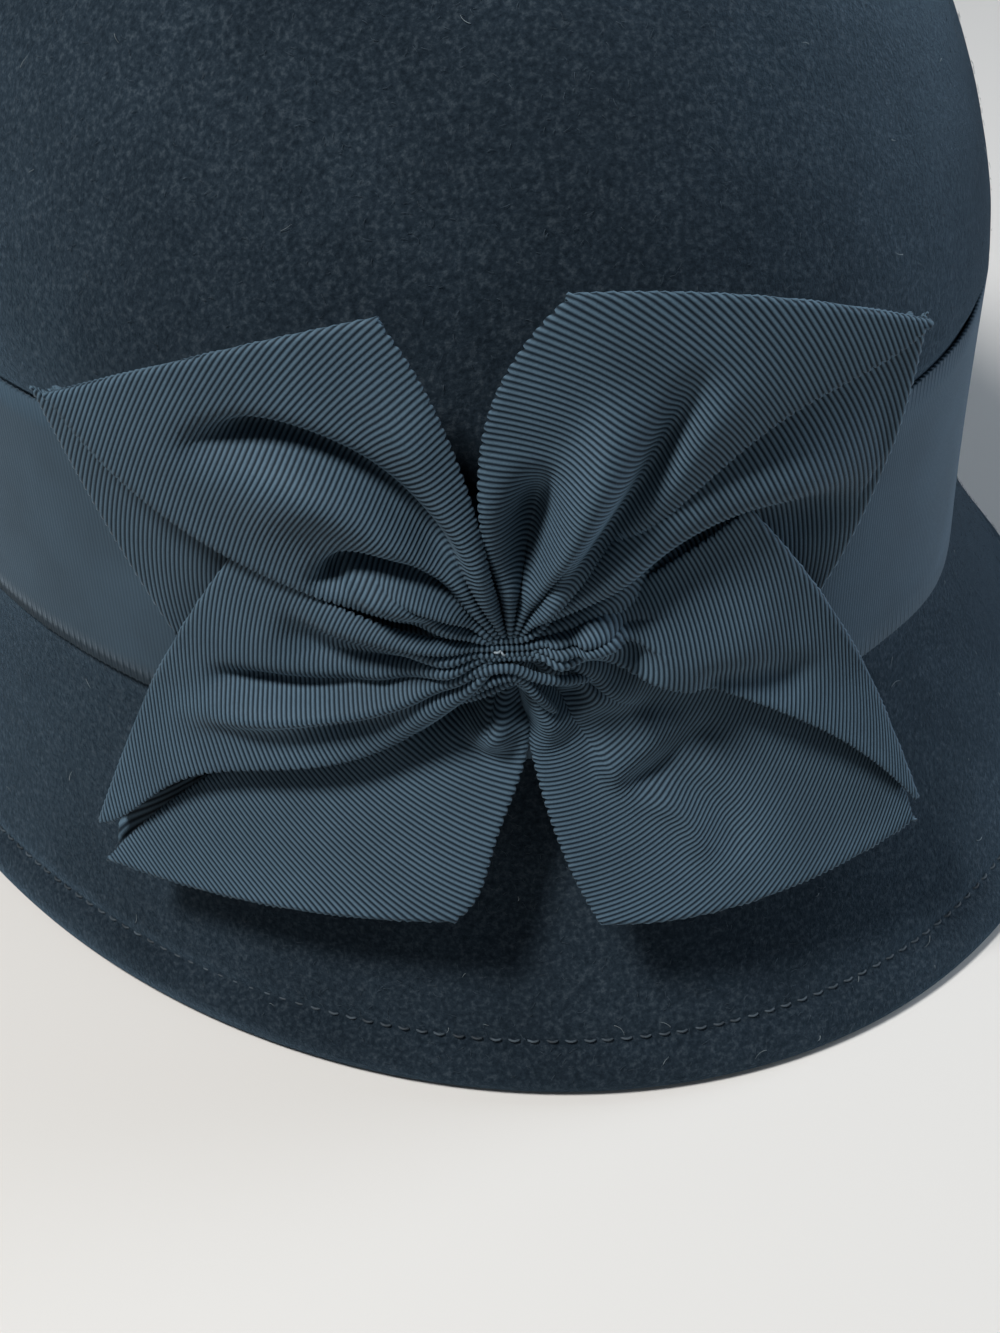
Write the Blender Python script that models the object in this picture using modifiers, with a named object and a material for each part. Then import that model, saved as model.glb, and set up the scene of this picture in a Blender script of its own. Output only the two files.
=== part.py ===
"""Wool felt cloche hat with a petersham ribbon band and a four-loop ribbon bow.

Metres, +Z up, front of the hat towards -Y. The origin lies on the surface that the brim
rests on, in the middle of the brim's outline.
"""
import math
from collections import namedtuple

import bpy
import bmesh
from mathutils import Vector

MM = 0.001

# Crown: an upright oval wall under a dome
CROWN_WIDTH = 165.6 * MM
CROWN_LENGTH = 211.6 * MM
CROWN_SHIFT_X = -6.8 * MM
CROWN_SHIFT_Y = -3.0 * MM
HAT_HEIGHT = 176.0 * MM
WALL_OVER_BAND = 1.7 * MM
DOME_BULGE = 0.9 * MM
DOME_POWER = 1.6
FELT = 2.2 * MM

# Brim: a steep bell under the band, its edge turned under and stitched
BRIM_WIDTH = 208.6 * MM
BRIM_LENGTH = 263.4 * MM
BRIM_DEPTH = 46.0 * MM
BRIM_FLARE = 1.2
HEM_WIDTH = 8.0 * MM
HEM_THICKNESS = 4.8 * MM
EDGE_ROUND = 2.4 * MM

# Ribbon, and the small space kept between touching pieces
RIBBON_WIDTH = 40.0 * MM
RIBBON_WALL = 1.0 * MM
CLEARANCE = 0.3 * MM

# Heights that follow from these: the band's edges, and where the dome starts
BAND_BOTTOM = BRIM_DEPTH + CLEARANCE
BAND_TOP = BAND_BOTTOM + RIBBON_WIDTH
DOME_START = BAND_TOP + WALL_OVER_BAND

# Bow: where it is sewn on, and how far its loops reach
BOW_BEARING = -115.1
BOW_STAND_OFF = 7.0 * MM
BOW_RISE = 3.8 * MM
BOW_REACH = 60.0 * MM
BOW_CURVE = 92.0 * MM
BOW_KICK = 0.45
BOW_KICK_START = 12.0 * MM
GATHER_RADIUS = 5.3 * MM
GATHER_HEIGHT = 3.0 * MM
FOLD_RADIUS = 1.4 * MM

# Faceting
OVAL_SIDES = 52
DOME_ROWS = 10
BRIM_ROWS = 5
LEG_ROWS = 7
PANEL_ROWS = 4
RIBBON_COLUMNS = 16
GATHER_SIDES = 16

# Each loop of the bow has a front leg and a back leg, fanned out from the gather to a fold.
# Bearings are degrees in the bow's face, 0 towards its left side as worn and 90 up.
# reach is the fold's middle from the gather as a share of BOW_REACH, width the fold's
# length as a share of RIBBON_WIDTH, sag its outward curve as a share of that length.
# Column 0 of a ribbon is its free selvedge and column 1 the one at the loop's tip; root,
# mid and end are the gather, halfway out and the fold.
# Lifts are shares of BOW_STAND_OFF, above the bow's face.
Leg = namedtuple("Leg", "bearing reach fold width sag root_0 root_1 mid_0 mid_1 "
                        "lift_root lift_mid_0 lift_mid_1 lift_end_0 lift_end_1")
LEGS = {
    "upper_left_front": Leg(134.3, 0.80, 201.4, 1.07, 0.03, 101, 152, 101, 161,
                            0.00, 0.20, 0.40, 0.00, 0.30),
    "upper_left_back": Leg(171.4, 0.84, 113.4, 0.88, 0.02, 188, 152, 192, 157,
                           -0.50, -0.68, -0.55, -0.72, -0.60),
    "upper_right_front": Leg(56.3, 0.81, 347.3, 1.03, 0.06, 94, 42, 97, 39,
                             0.00, 0.20, 0.40, 0.00, 0.30),
    "upper_right_back": Leg(20.9, 0.77, 75.7, 0.92, 0.07, 8, 36, 4, 38,
                            -0.54, -0.70, -0.52, -0.72, -0.60),
    "lower_left_front": Leg(194.4, 0.74, 241.8, 1.27, 0.04, 164, 208, 165, 213,
                            0.00, 0.18, 0.60, 0.12, 0.45),
    "lower_left_back": Leg(231.1, 0.83, 184.2, 1.18, 0.00, 274, 221, 274, 221,
                           -0.05, -0.05, -0.20, 0.00, -0.20),
    "lower_right_front": Leg(348.4, 0.69, 299.2, 1.31, 0.05, 382, 352, 383, 340,
                             0.00, 0.25, 0.50, 0.20, 0.35),
    "lower_right_back": Leg(311.4, 0.82, 361.7, 1.06, 0.05, 283, 336, 282, 331,
                             -0.05, -0.05, -0.10, 0.05, -0.12),
}

# Pleats run out from the gather: where they lie across the ribbon, their width across it,
# their height as a share of BOW_STAND_OFF, and where along the leg they are highest.
Pleat = namedtuple("Pleat", "across spread height peak")
PLEATS = {
    "upper_left_front": (Pleat(0.15, 0.14, 0.22, 0.35), Pleat(0.42, 0.10, -0.25, 0.40),
                         Pleat(0.66, 0.12, 0.22, 0.45), Pleat(0.88, 0.08, -0.12, 0.30)),
    "upper_left_back": (Pleat(0.50, 0.20, 0.05, 0.50),),
    "upper_right_front": (Pleat(0.10, 0.10, 0.20, 0.25), Pleat(0.32, 0.10, 0.10, 0.45),
                          Pleat(0.62, 0.10, -0.34, 0.50), Pleat(0.84, 0.09, 0.22, 0.45)),
    "upper_right_back": (Pleat(0.62, 0.16, 0.07, 0.45),),
    "lower_left_front": (Pleat(0.18, 0.12, 0.20, 0.50), Pleat(0.42, 0.10, -0.20, 0.45),
                         Pleat(0.70, 0.12, 0.30, 0.50), Pleat(0.90, 0.06, -0.14, 0.50)),
    "lower_left_back": (Pleat(0.22, 0.12, -0.12, 0.35), Pleat(0.60, 0.18, 0.10, 0.60)),
    "lower_right_front": (Pleat(0.32, 0.15, 0.32, 0.45), Pleat(0.66, 0.10, -0.25, 0.50),
                          Pleat(0.90, 0.08, 0.12, 0.50)),
    "lower_right_back": (Pleat(0.30, 0.10, -0.12, 0.60), Pleat(0.52, 0.12, 0.16, 0.45)),
}

LOOPS = ("upper_left", "upper_right", "lower_left", "lower_right")
PANEL_DROP = {"upper_left": 0.30, "upper_right": 0.30, "lower_left": 0.38, "lower_right": 0.39}

# Section of the brim's rolled edge, from its outer face under to the hem's top: inset as a
# share of HEM_THICKNESS, and height as a share of EDGE_ROUND.
EdgeRing = namedtuple("EdgeRing", "inset height")
EDGE = (EdgeRing(0.10, 0.35), EdgeRing(0.32, 0.0), EdgeRing(0.68, 0.0), EdgeRing(0.90, 0.35),
        EdgeRing(1.0, 1.0))

# Section of the bow's gather: radius as a share of GATHER_RADIUS, and height as a share of
# GATHER_HEIGHT above the bow's face or of its foot's depth below it.
GatherRing = namedtuple("GatherRing", "height radius")
GATHER_HEAD = (GatherRing(1.0, 0.55), GatherRing(0.6, 0.9), GatherRing(0.0, 1.0))
GATHER_FOOT = (GatherRing(-0.8, 1.0), GatherRing(-1.0, 0.9))

Oval = namedtuple("Oval", "x y half_width half_length")


def clear_scene():
    for old in list(bpy.data.objects):
        bpy.data.objects.remove(old)


def material(name, colour, roughness):
    made = bpy.data.materials.new(name)
    made.use_nodes = True
    shader = made.node_tree.nodes["Principled BSDF"]
    shader.inputs["Base Color"].default_value = (*colour, 1.0)
    shader.inputs["Roughness"].default_value = roughness
    shader.inputs["Metallic"].default_value = 0.0
    return made


def add_object(name, mesh, finish, collection):
    made = bpy.data.objects.new(name, mesh)
    mesh.materials.append(finish)
    mesh.shade_smooth()
    mesh.set_sharp_from_angle(angle=math.radians(50))
    collection.objects.link(made)
    return made


# Ovals of the crown and the brim

def crown_oval(grow=0.0):
    return Oval(CROWN_SHIFT_X, CROWN_SHIFT_Y, CROWN_WIDTH / 2 + grow, CROWN_LENGTH / 2 + grow)


def brim_oval(share, inset=0.0):
    """Oval part of the way from the crown, share 0, to the brim's edge, share 1."""
    out = share ** BRIM_FLARE
    crown = crown_oval()
    return Oval(crown.x * (1 - out), crown.y * (1 - out),
                crown.half_width + (BRIM_WIDTH / 2 - crown.half_width) * out - inset,
                crown.half_length + (BRIM_LENGTH / 2 - crown.half_length) * out - inset)


def ring(oval, z, scale=1.0):
    points = []
    for i in range(OVAL_SIDES):
        turn = 2 * math.pi * i / OVAL_SIDES
        points.append(Vector((oval.x + oval.half_width * scale * math.cos(turn),
                              oval.y + oval.half_length * scale * math.sin(turn), z)))
    return points


def loft(name, rings, tips=None):
    """Skin through rings, closed by a fan to a tip at each end, or on itself without tips."""
    work = bmesh.new()
    rows = [[work.verts.new(point) for point in points] for points in rings]
    sides = len(rows[0])
    pairs = list(zip(rows, rows[1:]))
    if tips is None:
        pairs.append((rows[-1], rows[0]))
    for upper, lower in pairs:
        for i in range(sides):
            j = (i + 1) % sides
            work.faces.new((upper[i], lower[i], lower[j], upper[j]))
    if tips is not None:
        first = work.verts.new(tips[0])
        last = work.verts.new(tips[1])
        for i in range(sides):
            j = (i + 1) % sides
            work.faces.new((first, rows[0][i], rows[0][j]))
            work.faces.new((last, rows[-1][j], rows[-1][i]))
    mesh = bpy.data.meshes.new(name)
    work.to_mesh(mesh)
    work.free()
    return mesh


# Felt: one skin from the dome's top down the outside, round the hem and up the inside

def dome_rings(inset):
    """Rings of the dome and the upright wall, top to bottom, inset from the outer face."""
    wall = crown_oval(DOME_BULGE - inset)
    rise = HAT_HEIGHT - inset - DOME_START
    rings = []
    for i in range(1, DOME_ROWS + 1):
        turn = math.pi / 2 * i / DOME_ROWS
        height = max(math.cos(turn), 0.0) ** (2 / DOME_POWER)
        rings.append(ring(wall, DOME_START + rise * height, math.sin(turn)))
    seat = crown_oval(-inset)
    rings.append(ring(seat, BAND_TOP))
    rings.append(ring(seat, BRIM_DEPTH))
    return rings


def brim_rings(inset, lowest):
    """Rings of the brim below the crown, down to the height lowest."""
    rings = []
    for i in range(1, BRIM_ROWS + 1):
        z = BRIM_DEPTH + (lowest - BRIM_DEPTH) * i / BRIM_ROWS
        share = (BRIM_DEPTH - z) / (BRIM_DEPTH - EDGE_ROUND)
        rings.append(ring(brim_oval(share, inset), z))
    return rings


def edge_rings():
    """The rounded edge with its narrow flat foot, and the face of the turned-under hem."""
    rings = []
    for edge in EDGE:
        rings.append(ring(brim_oval(1.0, edge.inset * HEM_THICKNESS), edge.height * EDGE_ROUND))
    hem_share = 1.0 - (HEM_WIDTH - EDGE_ROUND) / (BRIM_DEPTH - EDGE_ROUND)
    rings.append(ring(brim_oval(hem_share, HEM_THICKNESS), HEM_WIDTH))
    return rings


def felt_body(finish, collection):
    outside = dome_rings(0.0) + brim_rings(0.0, EDGE_ROUND)
    inside = dome_rings(FELT) + brim_rings(FELT, HEM_WIDTH + FELT / 4)
    tips = [Vector((CROWN_SHIFT_X, CROWN_SHIFT_Y, HAT_HEIGHT - inset)) for inset in (0.0, FELT)]
    mesh = loft("felt_body", outside + edge_rings() + inside[::-1], tips)
    return add_object("felt_body", mesh, finish, collection)


# Band: the ribbon round the foot of the crown

def band(finish, collection):
    inner = crown_oval(CLEARANCE)
    outer = crown_oval(CLEARANCE + RIBBON_WALL)
    rings = [ring(inner, BAND_TOP), ring(outer, BAND_TOP),
             ring(outer, BAND_BOTTOM), ring(inner, BAND_BOTTOM)]
    mesh = loft("band", rings)
    return add_object("band", mesh, finish, collection)


# Bow: a face that leans over the band, with everything on it given by place and lift

def bow_frame():
    """Middle of the bow's face and its three directions: across, up and out."""
    oval = crown_oval(CLEARANCE + RIBBON_WALL)
    bearing = math.radians(BOW_BEARING)
    turn = math.atan2(oval.half_length * math.sin(bearing), oval.half_width * math.cos(bearing))
    middle = Vector((oval.x + (oval.half_width + BOW_STAND_OFF) * math.cos(turn),
                     oval.y + (oval.half_length + BOW_STAND_OFF) * math.sin(turn),
                     (BAND_BOTTOM + BAND_TOP) / 2 + BOW_RISE))
    out = Vector((math.cos(bearing), math.sin(bearing), 0.0))
    up = Vector((0.0, 0.0, 1.0))
    return middle, up.cross(out), up, out


def bow_point(x, y, lift):
    """Point over the bow's face, which bends back with the crown and kicks out at the brim."""
    middle, across, up, out = bow_frame()
    below = max(0.0, -y - BOW_KICK_START)
    face = -x * x / (2 * BOW_CURVE) + BOW_KICK * below * below / (below + BOW_KICK_START / 2)
    return middle + across * x + up * y + out * (face + lift)


def fold_place(leg, column):
    """Place in the bow's face of a point on the leg's fold."""
    middle = BOW_REACH * leg.reach
    bearing = math.radians(leg.bearing)
    fold = math.radians(leg.fold)
    length = leg.width * RIBBON_WIDTH
    along = (column - 0.5) * length
    x = middle * math.cos(bearing) + along * math.cos(fold)
    y = middle * math.sin(bearing) + along * math.sin(fold)
    stretch = 1 + leg.sag * length * 4 * column * (1 - column) / math.hypot(x, y)
    return x * stretch, y * stretch


def near_turn(angle, other):
    """The angle, turned by whole turns until it lies nearest to the other."""
    return angle + 360.0 * round((other - angle) / 360.0)


def pleat_lift(name, along, column):
    lift = 0.0
    for pleat in PLEATS[name]:
        across = (column - pleat.across) / pleat.spread
        reach = along / pleat.peak if along < pleat.peak else (1 - along) / (1 - pleat.peak)
        rise = math.sin(math.pi / 2 * reach) ** 2
        lift += pleat.height * math.exp(-across * across) * rise
    return lift * BOW_STAND_OFF


def through(root, mid, end, along):
    """Smooth value that is root, mid and end at 0, 1/2 and 1 along."""
    return (root * (1 - along) * (1 - 2 * along) + mid * 4 * along * (1 - along)
            + end * along * (2 * along - 1))


def leg_point(name, along, column):
    """Place and lift of a point of a leg, along from 0 at the gather to 1 at the fold."""
    leg = LEGS[name]
    x, y = fold_place(leg, column)
    root = leg.root_0 + (leg.root_1 - leg.root_0) * column
    mid = leg.mid_0 + (leg.mid_1 - leg.mid_0) * column
    end = near_turn(math.degrees(math.atan2(y, x)), mid)
    turn = math.radians(through(root, mid, end, along))
    start = GATHER_RADIUS + CLEARANCE
    radius = start + (math.hypot(x, y) - start) * along
    lift_mid = leg.lift_mid_0 + (leg.lift_mid_1 - leg.lift_mid_0) * column
    lift_end = leg.lift_end_0 + (leg.lift_end_1 - leg.lift_end_0) * column
    lift = through(leg.lift_root, lift_mid, lift_end, along) * BOW_STAND_OFF
    return (radius * math.cos(turn), radius * math.sin(turn),
            lift + pleat_lift(name, along, column))


def moved(row, outward, lifts):
    """A row across the ribbon moved further out from the gather, at other lifts."""
    made = []
    for (x, y, _), lift in zip(row, lifts):
        scale = 1 + outward / math.hypot(x, y)
        made.append((x * scale, y * scale, lift))
    return made


def between(start, end, share):
    return tuple(a + (b - a) * share for a, b in zip(start, end))


def loop_rows(loop):
    """Rows across the ribbon: out along the front leg, behind as a panel, back to the gather."""
    columns = [i / RIBBON_COLUMNS for i in range(RIBBON_COLUMNS + 1)]
    legs = []
    for side in ("_front", "_back"):
        rows = []
        for i in range(LEG_ROWS):
            along = i / (LEG_ROWS - 1)
            rows.append([leg_point(loop + side, along, column) for column in columns])
        legs.append(rows)
    front, back = legs
    drop = PANEL_DROP[loop] * BOW_STAND_OFF
    behind = [min(a[2], b[2]) - drop for a, b in zip(front[-1], back[-1])]
    first = moved(front[-1], -FOLD_RADIUS, behind)
    last = moved(back[-1], -FOLD_RADIUS, behind)
    panel = [moved(front[-1], FOLD_RADIUS / 2, [(a[2] + b) / 2 for a, b in zip(front[-1], behind)]),
             first]
    for k in range(PANEL_ROWS):
        share = (k + 1) / (PANEL_ROWS + 1)
        panel.append([between(start, end, share) for start, end in zip(first, last)])
    panel.append(last)
    panel.append(moved(back[-1], FOLD_RADIUS / 2, [(a[2] + b) / 2 for a, b in zip(back[-1], behind)]))
    return front + panel + back[::-1]


def bow_loop(loop, finish, collection):
    name = "bow_loop_" + loop
    work = bmesh.new()
    rows = [[work.verts.new(bow_point(*place)) for place in row] for row in loop_rows(loop)]
    for upper, lower in zip(rows, rows[1:]):
        for i in range(RIBBON_COLUMNS):
            work.faces.new((upper[i], lower[i], lower[i + 1], upper[i + 1]))
    mesh = bpy.data.meshes.new(name)
    work.to_mesh(mesh)
    work.free()
    made = add_object(name, mesh, finish, collection)
    shell = made.modifiers.new("ribbon wall", "SOLIDIFY")
    shell.thickness = RIBBON_WALL
    shell.offset = 0.0
    return made


def bow_gather(finish, collection):
    """The bunched middle that the loops are sewn to, standing on the band."""
    middle, across, up, out = bow_frame()
    foot = BOW_STAND_OFF - CLEARANCE
    sections = [(part.height * GATHER_HEIGHT, part.radius) for part in GATHER_HEAD]
    sections += [(part.height * foot, part.radius) for part in GATHER_FOOT]
    rings = []
    for height, share in sections:
        points = []
        for i in range(GATHER_SIDES):
            turn = 2 * math.pi * i / GATHER_SIDES
            points.append(middle + out * height
                          + across * GATHER_RADIUS * share * math.cos(turn)
                          + up * GATHER_RADIUS * share * math.sin(turn))
        rings.append(points)
    mesh = loft("bow_gather", rings, (middle + out * GATHER_HEIGHT, middle - out * foot))
    return add_object("bow_gather", mesh, finish, collection)


def main():
    clear_scene()
    collection = bpy.data.collections.new("cloche_hat")
    bpy.context.scene.collection.children.link(collection)
    felt_body(material("wool felt", (0.012, 0.016, 0.021), 0.95), collection)
    band(material("band ribbon", (0.035, 0.050, 0.066), 0.70), collection)
    ribbon = material("bow ribbon", (0.024, 0.034, 0.045), 0.72)
    for loop in LOOPS:
        bow_loop(loop, ribbon, collection)
    bow_gather(ribbon, collection)


main()
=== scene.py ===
import math
import random
from collections import namedtuple

import bpy
import numpy as np
from mathutils import Matrix, Vector, noise


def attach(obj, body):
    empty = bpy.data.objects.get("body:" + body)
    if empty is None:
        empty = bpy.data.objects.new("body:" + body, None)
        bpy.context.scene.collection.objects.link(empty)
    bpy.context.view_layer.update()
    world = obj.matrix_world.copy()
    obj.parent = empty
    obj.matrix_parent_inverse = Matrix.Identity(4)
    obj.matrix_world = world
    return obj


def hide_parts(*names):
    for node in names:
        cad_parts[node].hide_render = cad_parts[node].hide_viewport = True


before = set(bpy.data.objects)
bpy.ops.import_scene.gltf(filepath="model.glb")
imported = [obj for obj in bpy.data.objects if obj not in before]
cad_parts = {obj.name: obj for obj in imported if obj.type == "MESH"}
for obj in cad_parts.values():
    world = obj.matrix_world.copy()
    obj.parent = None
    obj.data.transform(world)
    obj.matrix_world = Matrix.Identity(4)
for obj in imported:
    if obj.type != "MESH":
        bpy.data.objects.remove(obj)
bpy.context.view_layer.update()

MM = 0.001

# Sizes of the hat, as in the model's source
CROWN_WIDTH = 165.6 * MM
CROWN_LENGTH = 211.6 * MM
CROWN_SHIFT_X = -6.8 * MM
CROWN_SHIFT_Y = -3.0 * MM
HAT_HEIGHT = 176.0 * MM
WALL_OVER_BAND = 1.7 * MM
DOME_BULGE = 0.9 * MM
DOME_POWER = 1.6
FELT = 2.2 * MM
BRIM_WIDTH = 208.6 * MM
BRIM_LENGTH = 263.4 * MM
BRIM_DEPTH = 46.0 * MM
BRIM_FLARE = 1.2
HEM_WIDTH = 8.0 * MM
HEM_THICKNESS = 4.8 * MM
EDGE_ROUND = 2.4 * MM
RIBBON_WIDTH = 40.0 * MM
CLEARANCE = 0.3 * MM
BAND_BOTTOM = BRIM_DEPTH + CLEARANCE
BAND_TOP = BAND_BOTTOM + RIBBON_WIDTH
DOME_START = BAND_TOP + WALL_OVER_BAND

# Bow, as in the model's source
BOW_BEARING = -115.1
BOW_STAND_OFF = 7.0 * MM
BOW_RISE = 3.8 * MM
BOW_REACH = 60.0 * MM
BOW_CURVE = 92.0 * MM
BOW_KICK = 0.45
BOW_KICK_START = 12.0 * MM
RIBBON_WALL = 1.0 * MM
FOLD_RADIUS = 1.4 * MM

# Fine structure of the ribbon. Folds fade over FOLD_FADE of their path at each end, and legs
# dip by ROOT_DIP where they meet the gather.
RIB_PITCH = 0.60 * MM
RIB_RELIEF = 0.10 * MM
ROWS_PER_RIB = 3
RIBS_PER_PICOT = 2
PICOT_REACH = 0.45 * MM
PICOT_CORNER = 0.8
SELVEDGE = 0.12 * MM
CLOTH_WALL = 0.36 * MM
ROOT_RADIUS = 0.5 * MM
FOLD_DROP = 1.2 * MM
FOLD_FADE = 0.3
ROOT_DIP = 0.5 * MM
ROOT_DIP_SPREAD = 1.6 * MM
LEG_STEPS = 80
FOLD_STEPS = 12
PANEL_STEPS = 24
COLUMNS = 48

# Camera: the photograph's place and direction, with the frame taken as 1000 by 1333
CAMERA_PLACE = Vector((-109.617, -265.140, 200.5)) * MM
CAMERA_RIGHT = Vector((0.90590, -0.42318, -0.01650))
CAMERA_UP = Vector((0.27239, 0.55237, 0.78784))
CAMERA_LENS = 48.61
CAMERA_SENSOR = 36.0

Oval = namedtuple("Oval", "x y half_width half_length")

# Legs of the bow's loops, with angles in degrees. The fold at the end of a leg is a line: its
# middle lies at bearing and reach, a share of BOW_REACH, its direction is fold, its length is
# width times RIBBON_WIDTH, and sag bows it outwards. root and mid are the bearings of the two
# selvedges, 0 and 1, at the gather and halfway along. The lifts are shares of BOW_STAND_OFF.
# bend is how far a selvedge bows aside past halfway. Ribs lie round the gather, and lean
# slants them at a selvedge.
Leg = namedtuple("Leg", "bearing reach fold width sag root_0 root_1 mid_0 mid_1 "
                        "lift_root lift_mid_0 lift_mid_1 lift_end_0 lift_end_1 "
                        "bend_0 bend_1 lean_0 lean_1")
LEGS = {
    "upper_left_front": Leg(134.3, 0.80, 201.4, 1.07, 0.03, 101, 157, 101, 161,
                            0.00, 0.25, 0.35, 0.00, 0.18, 0, 0, 0.34, 0.03),
    "upper_left_back": Leg(171.4, 0.84, 113.4, 0.88, 0.02, 188, 152, 192, 157,
                           -0.50, -0.68, -0.50, -0.72, -0.45, 0, 0, 0.02, 0.02),
    "upper_right_front": Leg(56.3, 0.81, 347.3, 1.03, 0.06, 94, 56, 97, 41,
                             0.00, 0.30, 0.12, 0.00, 0.14, 0, 5, 0.20, 0.16),
    "upper_right_back": Leg(20.9, 0.77, 75.7, 0.92, 0.07, 22, 60, 4, 44,
                            -0.05, -0.50, -0.46, -0.72, -0.46, 0, 9, -0.12, -0.06),
    "lower_left_front": Leg(194.4, 0.74, 241.8, 1.27, 0.04, 164, 238, 165, 219,
                            0.00, 0.18, 0.35, 0.12, 0.30, 0, -6, -0.22, -0.10),
    "lower_left_back": Leg(231.1, 0.83, 184.2, 1.18, 0.00, 281, 214, 278, 212,
                           -0.60, -0.26, -0.38, 0.00, -0.10, -7, 0, 0.12, -0.10),
    "lower_right_front": Leg(348.4, 0.69, 299.2, 1.31, 0.05, 382, 346, 383, 340,
                             0.00, -0.30, 0.32, -0.25, 0.25, 0, 0, -0.14, -0.20),
    "lower_right_back": Leg(311.4, 0.82, 361.7, 1.06, 0.05, 278, 346, 280, 343,
                            -0.30, -0.24, -0.46, 0.05, -0.14, 0, 0, -0.20, 0.16),
}

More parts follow.
